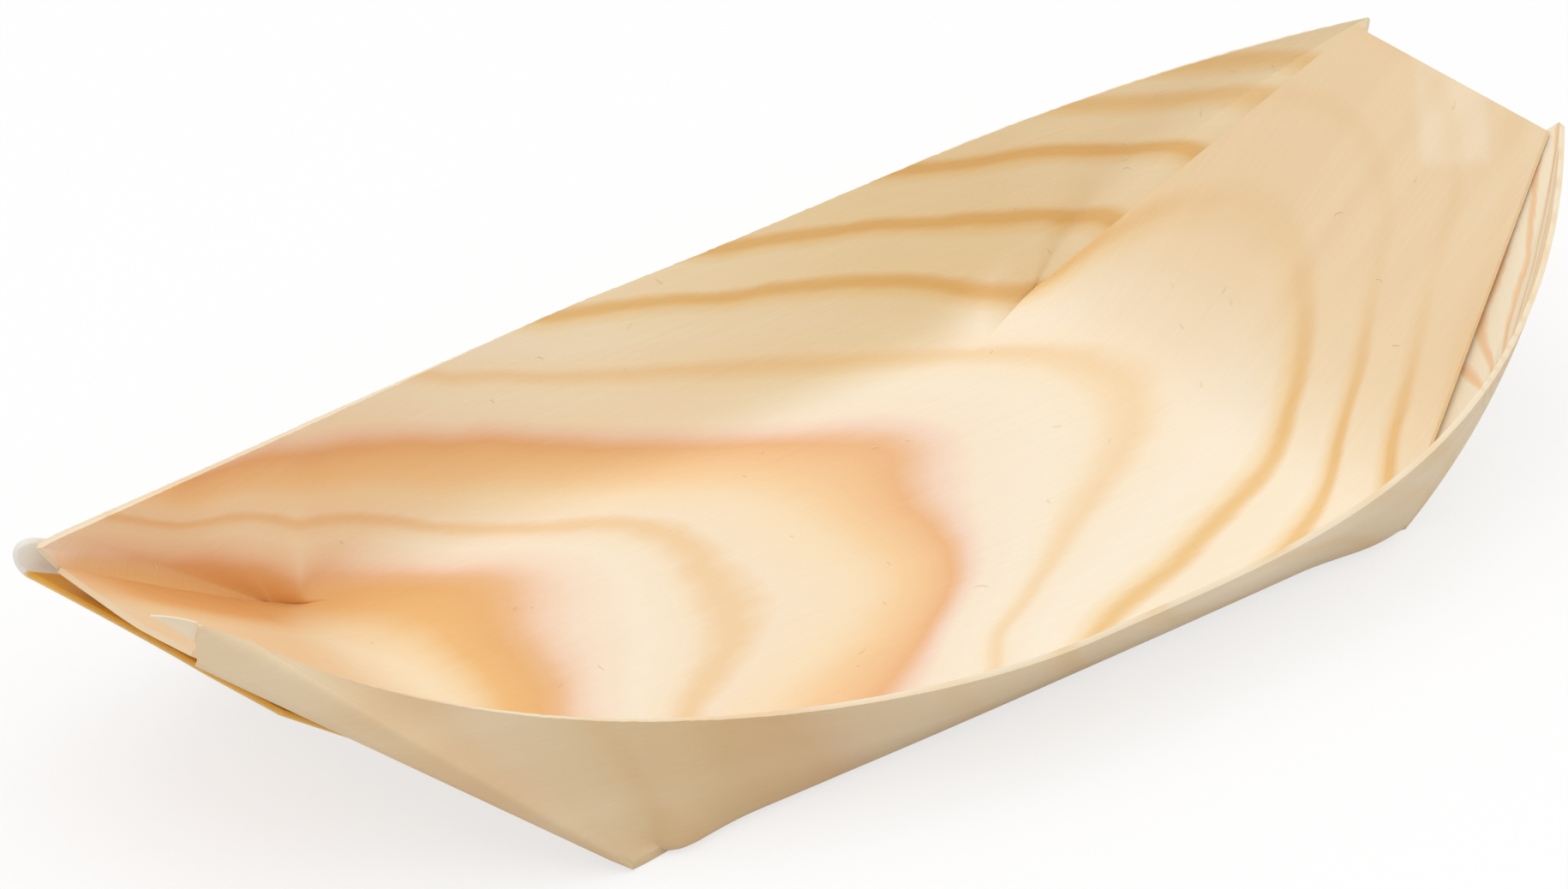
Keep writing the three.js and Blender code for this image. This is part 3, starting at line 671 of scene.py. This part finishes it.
for wall in (BACK_WALL, FRONT_WALL):
    name, corners = wall["name"], wall["corners"]
    wall_pine = veneer_finish(f"{name}_wall_pine", wall["shade_and_glow"])
    halves = [rounded(np.concatenate([wall_half(corner), tab(corner)]), corner) for corner in corners]
    places = [unrolled(half, corner) for half, corner in zip(halves, corners)]
    side_inner = np.concatenate([halves[0][:0:-1], halves[1]])
    side_blank = np.concatenate([places[0][:0:-1], places[1]])
    side_outer = outer_side(side_inner, corners[0]["hand"])
    tabs = TAB_STEPS - 1
    fibre_beds.append((side_inner[tabs:-tabs, FIBRE_FIRST_ROW:], WALL_FIBRES))
    for node, part, slot in ((f"{name}_wall", slice(tabs, -tabs), "wall_wood"),
                             (f"{name}_left_tab", slice(0, tabs + 1), "tab_wood"),
                             (f"{name}_right_tab", slice(-tabs - 1, None), "tab_wood")):
        inner, blank = side_inner[part], side_blank[part]
        s, t = blank[..., 0], blank[..., 1]
        upwards = np.linalg.norm(inner - inner[:, :1], axis=-1)
        # Painted shade: on the inside a darker colour grows in from the fold and lies fully near the slit
        # roots, scaled along the blank; on the outside it is laid by place along the blank
        root_shade = ease(np.abs(inner[:, :1, 0]), SLIT_X - ROOT_SHADE_REACH, SLIT_X)
        tone = np.maximum(ease(upwards, 0, WALL_SHADE_RISE), root_shade) * np.interp(s, *wall["inside"])
        outer_shade = np.interp(s, *wall["outside"])
        from_slit = (-HALF_WIDTH - t - SLIT_LEAN * (s - SLIT_X)) / np.hypot(1, SLIT_LEAN)
        fine_rings = FINE_FIRST + FINE_PITCH * from_slit
        numbers = lerp(ring_number(s, t), fine_rings, wall["fine"] * ease(s, *FINE_RISE))
        piece = veneer_piece(f"{node}_veneer", wall_pine, inner, side_outer[part], blank,
                             (1, tone), (wall["rings"], outer_shade), numbers)
        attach(piece, "root")
        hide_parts(node)


# Torn splinter: a thin sliver of the front wall's last fibres that tore loose at the left end and points
# outwards. It is the wall's own veneer at half its thickness, still fast along the cut end.
SPLINTER_LENGTH = 4.5
SPLINTER_FALL = (-0.728, 0, -1.079)
SPLINTER_FOOT = 0.7
SPLINTER_POINT = 0.97
SPLINTER_TAPER = 0.8
SPLINTER_ARCH = 0.2
SPLINTER_COLUMNS = 14
SPLINTER_ROWS = 8
SPLINTER_S, SPLINTER_T = (-90, -94), (-50, -47)
AIM_COLUMNS = 8
PLAIN_LOOK = (0, 0)
front_end = wall_half(FRONT_LEFT)[:, -1]
splinter_top = front_end[-1]
splinter_aim = unit(splinter_top - front_end[-AIM_COLUMNS])
splinter_tip = splinter_top + SPLINTER_LENGTH * splinter_aim + SPLINTER_FALL
turn_reach, turn_half, turn_depth = FRONT_LEFT["turn"]
turn_edge = panel_point(LEFT_END, turn_reach, -turn_half, turn_depth)
splinter_low = lerp(splinter_top, turn_edge, SPLINTER_FOOT)
splinter_foot = lerp(splinter_top, splinter_low, np.linspace(0, 1, SPLINTER_ROWS)[:, None])
splinter_share = np.linspace(0, SPLINTER_POINT, SPLINTER_COLUMNS)[:, None] ** SPLINTER_TAPER
splinter_inner = lerp(splinter_foot, splinter_tip, splinter_share[..., None])
splinter_inner[..., 2] += SPLINTER_ARCH * np.sin(np.pi * splinter_share)
splinter_side = unit(np.cross(splinter_tip - splinter_top, splinter_low - splinter_top))
splinter_outer = splinter_inner - VENEER / 2 * splinter_side * np.sign(splinter_side[1])
splinter_blank = np.stack(np.broadcast_arrays(lerp(*SPLINTER_S, splinter_share),
                                              np.linspace(*SPLINTER_T, SPLINTER_ROWS)), -1)
splinter = veneer_piece("torn_splinter", wall_pine, splinter_inner, splinter_outer, splinter_blank,
                        PLAIN_LOOK, PLAIN_LOOK)
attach(splinter, "root")
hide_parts("front_wall")


# Loose fibres: short pale fibres torn up by the veneer knife, which lie on the inner faces of the tray.
# Each is a thin three-sided thread that arches a little off the surface and tapers to both ends.
FIBRE_SEED = 11
FIBRE_STEPS = 7
FIBRE_SIDES = 3
FIBRE_RADIUS = 0.035
FIBRE_POINT = 0.006
FIBRE_LENGTH = (0.5, 1.5)
FIBRE_SWAY = (-0.3, 0.3)
FIBRE_RISE = (0.04, 0.16)
FIBRE_MARGINS = (4, 2)
chance = np.random.default_rng(FIBRE_SEED)


def loose_fibres(bed, count):
    """Points of threads on a bed: a chosen place plus a straight run, a sideways bow and a rise above the
    bed, both greatest at the middle, with three points round the path at a radius that fades to the ends."""
    column, row = (chance.integers(margin, size - margin, count)
                   for margin, size in zip(FIBRE_MARGINS, bed.shape))
    ahead = unit(bed[column + 1, row] - bed[column - 1, row])
    up = np.cross(ahead, bed[column, row + 1] - bed[column, row - 1])
    up = unit(up * np.sign(up[:, 2:]))
    beside = np.cross(up, ahead)
    turn = chance.uniform(0, np.pi, (count, 1))
    run = ahead * np.cos(turn) + beside * np.sin(turn)
    bow = beside * np.cos(turn) - ahead * np.sin(turn)
    length, sway, rise = (chance.uniform(*span, (count, 1, 1))
                          for span in (FIBRE_LENGTH, FIBRE_SWAY, FIBRE_RISE))
    q = np.linspace(0, 1, FIBRE_STEPS)[:, None]
    path = bed[column, row][:, None] + run[:, None] * length * (q - 0.5)
    path = path + bow[:, None] * sway * length * arch(q) + up[:, None] * rise * arch(q)
    angle = (np.arange(FIBRE_SIDES) * 2 * np.pi / FIBRE_SIDES)[:, None]
    radius = (FIBRE_RADIUS * np.sqrt(arch(q)) + FIBRE_POINT)[..., None]
    round_it = bow[:, None, None] * np.cos(angle) + up[:, None, None] * np.sin(angle)
    return path[:, :, None] + radius * round_it


def mottled_finish(name, first, second, roughness, **noise):
    """Finish that wanders between two colours by a noise of the place on the object."""
    material = bpy.data.materials.new(name)
    material.use_nodes = True
    tree = material.node_tree
    spot = place(tree, "ShaderNodeTexCoord").outputs["Object"]
    cloud = feed(tree, place(tree, "ShaderNodeTexNoise"), Vector=spot, **noise).outputs[0]
    tone = blend(tree, cloud, srgb(*first), srgb(*second))
    feed(tree, tree.nodes["Principled BSDF"], Base_Color=tone, Roughness=roughness)
    return material


fibre_points = np.concatenate([loose_fibres(*bed) for bed in fibre_beds])
fibre_ids = np.arange(fibre_points[..., 0].size).reshape(fibre_points.shape[:3])
fibre_next = np.roll(fibre_ids, -1, 2)
fibre_sides = np.stack([fibre_ids[:, :-1], fibre_next[:, :-1], fibre_next[:, 1:], fibre_ids[:, 1:]], -1)
fibre_ends = np.concatenate([fibre_ids[:, 0, ::-1], fibre_ids[:, -1]])
fibre_places = (fibre_points.reshape(-1, 3) + [MIDDLE, 0, 0]) * MM
fibre_mesh = bpy.data.meshes.new("loose_fibres")
fibre_mesh.from_pydata(fibre_places.tolist(), [], fibre_sides.reshape(-1, 4).tolist() + fibre_ends.tolist())
fibre_mesh.shade_smooth()
fibre_mesh.materials.append(mottled_finish("pale_fibre", (244, 224, 192), (255, 248, 236), 0.6, Scale=400.0))
fibres = bpy.data.objects.new("loose_fibres", fibre_mesh)
bpy.context.scene.collection.objects.link(fibres)
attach(fibres, "root")


# End strips: narrow lengths of the same veneer glued across the outside of the folded ends.
# The left one loops past the back corner and sags towards the front; the right one lies flat.
STRIP_WIDTH = 12.0
STRIP_DEPTH = 1.7
LEFT_STRIP_DEPTH = 1.4
STRIP_FRONT_REACH = 34.3
STRIP_SLOPE = 0.6
SLOPE_SOFT = 2.0
STRIP_LAP = 2.7
LOOP_START = 1.5
LOOP_FLARE = 1.6
LOOP_FRONT = 1.8
LOOP_FRONT_REACH = 44.6
LOOP_RISE = 2.8
RIGHT_STRIP_DROP = 1.6
RIGHT_STRIP_INSET = 2.7
LOOP_STEPS = 28
STRIP_STEPS = 60
STRIP_ROWS = 16
# Painted light: the strips' flat runs, in the shade behind the panels, get a saturated amber colour that
# stands for light shining through the veneer; the left strip's loop keeps the pale wood
STRIP_AMBER_GLOW = (255, 178, 66)
PALEST_RING = 60
AMBER_GLOW_TURN = (0.86 * np.pi, 0.9 * np.pi)
AMBER_GLOW_OUTSIDE = 0.8
# How clearly the rings show and how much painted amber glow is laid on, inside and outside of the right strip
RIGHT_STRIP_INSIDE, RIGHT_STRIP_OUTSIDE = (0.1, 0.5), (0.1, 0.2)
LEFT_STRIP_BLANK, RIGHT_STRIP_BLANK = (-62, -6), (70, -38)


def looped_strip():
    """Inner and outer grids of the left strip: a rounded tongue that stands past the back corner, outside the
    wall, and flares at its top, then a flat run behind the tabs whose top edge slopes down to the front."""
    angle = np.concatenate([np.linspace(0, np.pi, LOOP_STEPS), np.full(STRIP_STEPS - 1, np.pi)])[:, None]
    turned = (1 - np.cos(angle)) / 2
    flat = np.concatenate([np.zeros(LOOP_STEPS), np.linspace(0, 1, STRIP_STEPS)[1:]])[:, None]
    drop = np.linspace(0, STRIP_WIDTH, STRIP_ROWS)
    half, near_half = BACK_LEFT["half"], FRONT_LEFT["half"] + STRIP_LAP
    lean = (HALF_WIDTH - half) / (PANEL_SLANT + BACK_LEFT["past"])
    level = lerp(half, -near_half, flat)
    slope = STRIP_FRONT_REACH + STRIP_SLOPE * (level + np.hypot(level, SLOPE_SOFT)) / 2
    top = lerp(LOOP_FRONT_REACH, slope, turned) + LOOP_RISE * np.sin(angle)
    below_tip = PANEL_SLANT + BACK_LEFT["past"] - top + drop
    edge = half + (BACK_LEFT["bow"] / STRIP_WIDTH + lean) * below_tip
    flare = LOOP_FLARE * np.sin(angle) * (1 - drop / STRIP_WIDTH) ** 2
    across = lerp(edge + LOOP_START + flare, -near_half, flat)
    inner = panel_point(LEFT_END, top - drop, across, lerp(-LOOP_FRONT, LEFT_STRIP_DEPTH, turned))
    normals = unit(np.cross(np.gradient(inner, axis=0), np.gradient(inner, axis=1)))
    normals *= np.sign(-normals[-1, 0, 2])
    blank = np.stack(np.broadcast_arrays(across + LEFT_STRIP_BLANK[0], drop + LEFT_STRIP_BLANK[1]), -1)
    # Painted amber glow past the loop's turn, where the rings fade
    amber_glow = ease(angle, *AMBER_GLOW_TURN)
    inside, outside = (1 - amber_glow, amber_glow), (1 - amber_glow, AMBER_GLOW_OUTSIDE * amber_glow)
    return inner, inner + VENEER * normals, blank, inside, outside, np.full(across.shape, PALEST_RING)


def flat_strip():
    """Inner and outer grids of the right strip: a flat plate behind the tabs."""
    half = RIGHT_END["back"] - RIGHT_STRIP_INSET
    across = np.linspace(-half, half, STRIP_STEPS)[:, None]
    reach = PANEL_SLANT - RIGHT_STRIP_DROP - np.linspace(0, STRIP_WIDTH, STRIP_ROWS)
    inner = panel_point(RIGHT_END, reach, across, STRIP_DEPTH)
    outer = panel_point(RIGHT_END, reach, across, STRIP_DEPTH + VENEER)
    blank = np.stack(np.broadcast_arrays(across + RIGHT_STRIP_BLANK[0], reach + RIGHT_STRIP_BLANK[1]), -1)
    return inner, outer, blank, RIGHT_STRIP_INSIDE, RIGHT_STRIP_OUTSIDE


strip_pine = veneer_finish("strip_pine", STRIP_AMBER_GLOW)
feed(strip_pine.node_tree, strip_pine.node_tree.nodes["Principled BSDF"], Subsurface_Weight=0.8,
     Subsurface_Radius=(1.0, 0.95, 0.88), Subsurface_Scale=0.004)
for grids, node in ((looped_strip(), "left_end_strip"), (flat_strip(), "right_end_strip")):
    strip = veneer_piece(f"{node}_veneer", strip_pine, *grids, cut=0.0)
    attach(strip, "root")
    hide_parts(node)


# Glue: four small pads of dried clear glue between the tabs and the strips, amber with a faint cloudiness.
# The two at the right keep their solids, and the two at the left are pressed thin under the curled strip.
GLUE_LENGTH = 5.0
GLUE_HALF = 1.2
GLUE_CLEAR = 0.02
GLUE_COLUMNS = 5
GLUE_ROWS = 6
BACK_GLUE_TOP, BACK_GLUE_AT = 37.1, 13.9
FRONT_GLUE_TOP, FRONT_GLUE_AT = 33.4, -8.8
glue = mottled_finish("dried_glue", (196, 134, 48), (214, 160, 78), 0.3, Scale=900.0, Detail=2.0)
for corner_name in ("back_right", "front_right"):
    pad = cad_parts[f"{corner_name}_glue"]
    pad.data.materials.clear()
    pad.data.materials.append(glue)
for node, glue_top, glue_at in (("back_left_glue", BACK_GLUE_TOP, BACK_GLUE_AT),
                                ("front_left_glue", FRONT_GLUE_TOP, FRONT_GLUE_AT)):
    pad_reach = glue_top - GLUE_LENGTH * np.linspace(0, 1, GLUE_ROWS)
    pad_across = glue_at + GLUE_HALF * np.linspace(-1, 1, GLUE_COLUMNS)[:, None]
    tab_back = LEFT_TAB_DEPTH + VENEER - LEFT_END["bow"] * (pad_reach / PANEL_SLANT) ** 2
    pad_inner, pad_outer = (panel_point(LEFT_END, pad_reach, pad_across, depth)
                            for depth in (tab_back + GLUE_CLEAR, LEFT_STRIP_DEPTH - GLUE_CLEAR))
    pad = veneer_piece(node.replace("glue", "glue_pad"), glue, pad_inner, pad_outer, pad_inner[..., :2],
                       PLAIN_LOOK, PLAIN_LOOK)
    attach(pad, "root")
    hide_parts(node)


# Studio: a white table top that keeps the tray's soft shadow, one wide soft lamp overhead and a little to the
# front left, and an even white surround. The table and the surround look whiter than they light the tray.
WHITE = (1, 1, 1, 1)
TABLE_HALF = 3.0
TABLE_HEIGHT = -0.0001
TABLE_GREY = (0.8, 0.8, 0.8, 1)
TABLE_GLOW = 0.7
SURROUND_LIGHT = 0.68
LAMP_PLACE = Vector((-0.1, -0.1, 1.25))


def seen(tree):
    """1 for rays from the camera and for rays mirrored or let through by a surface, 0 for the rest."""
    rays = place(tree, "ShaderNodeLightPath").outputs
    return sum_up(tree, "MAXIMUM", sum_up(tree, "MAXIMUM", rays["Is Camera Ray"], rays["Is Glossy Ray"]),
                  rays["Is Transmission Ray"])


table = bpy.data.meshes.new("table_top")
table_corners = [(x * TABLE_HALF, y * TABLE_HALF, TABLE_HEIGHT)
                 for x, y in ((-1, -1), (1, -1), (1, 1), (-1, 1))]
table.from_pydata(table_corners, [], [(0, 1, 2, 3)])
table_top = bpy.data.objects.new("table_top", table)
bpy.context.scene.collection.objects.link(table_top)
white = bpy.data.materials.new("white_table")
white.use_nodes = True
white_tree = white.node_tree
matt = feed(white_tree, white_tree.nodes["Principled BSDF"], Roughness=0.9, Specular_IOR_Level=0.0,
            Base_Color=blend(white_tree, seen(white_tree), TABLE_GREY, WHITE))
bright = feed(white_tree, place(white_tree, "ShaderNodeEmission"), Color=WHITE, Strength=1.0)
glow = sum_up(white_tree, "MULTIPLY", seen(white_tree), TABLE_GLOW)
sheet = place(white_tree, "ShaderNodeMixShader")
for value, socket in zip((glow, matt.outputs[0], bright.outputs[0]), sheet.inputs):
    connect(white_tree, value, socket)
feed(white_tree, white_tree.nodes["Material Output"], Surface=sheet.outputs[0])
table.materials.append(white)

surround = bpy.data.worlds.new("studio_surround")
bpy.context.scene.world = surround
surround.use_nodes = True
sky_tree = surround.node_tree
sky_strength = sum_up(sky_tree, "MULTIPLY_ADD", seen(sky_tree), 1 - SURROUND_LIGHT, SURROUND_LIGHT)
feed(sky_tree, sky_tree.nodes["Background"], Color=WHITE, Strength=sky_strength)

lamp = bpy.data.lights.new("soft_box", "AREA")
lamp.shape = "SQUARE"
lamp.size = 1.8
lamp.energy = 8.1
soft_box = bpy.data.objects.new("soft_box", lamp)
soft_box.location = LAMP_PLACE
soft_box.rotation_euler = LAMP_PLACE.to_track_quat("Z", "Y").to_euler()
bpy.context.scene.collection.objects.link(soft_box)


# Camera: a long lens at the photograph's viewing angle, from the front left and above,
# aimed near the middle of the tray with no shift.
AZIMUTH, ELEVATION = np.radians(-38.80), np.radians(30.92)
VIEW_AIM = Vector((MIDDLE - 4.48, 3.94, 15)) * MM
VIEW_DISTANCE = 0.8621
towards = Vector((np.sin(AZIMUTH) * np.cos(ELEVATION), -np.cos(AZIMUTH) * np.cos(ELEVATION),
                  np.sin(ELEVATION)))
view = bpy.data.cameras.new("view")
view.sensor_width = 36
view.lens = 196.7
view.clip_end = 20
camera = bpy.data.objects.new("view", view)
camera.location = VIEW_AIM + towards * VIEW_DISTANCE
camera.rotation_euler = towards.to_track_quat("Z", "Y").to_euler()
bpy.context.scene.collection.objects.link(camera)
bpy.context.scene.camera = camera
bpy.context.scene.view_settings.view_transform = "Standard"
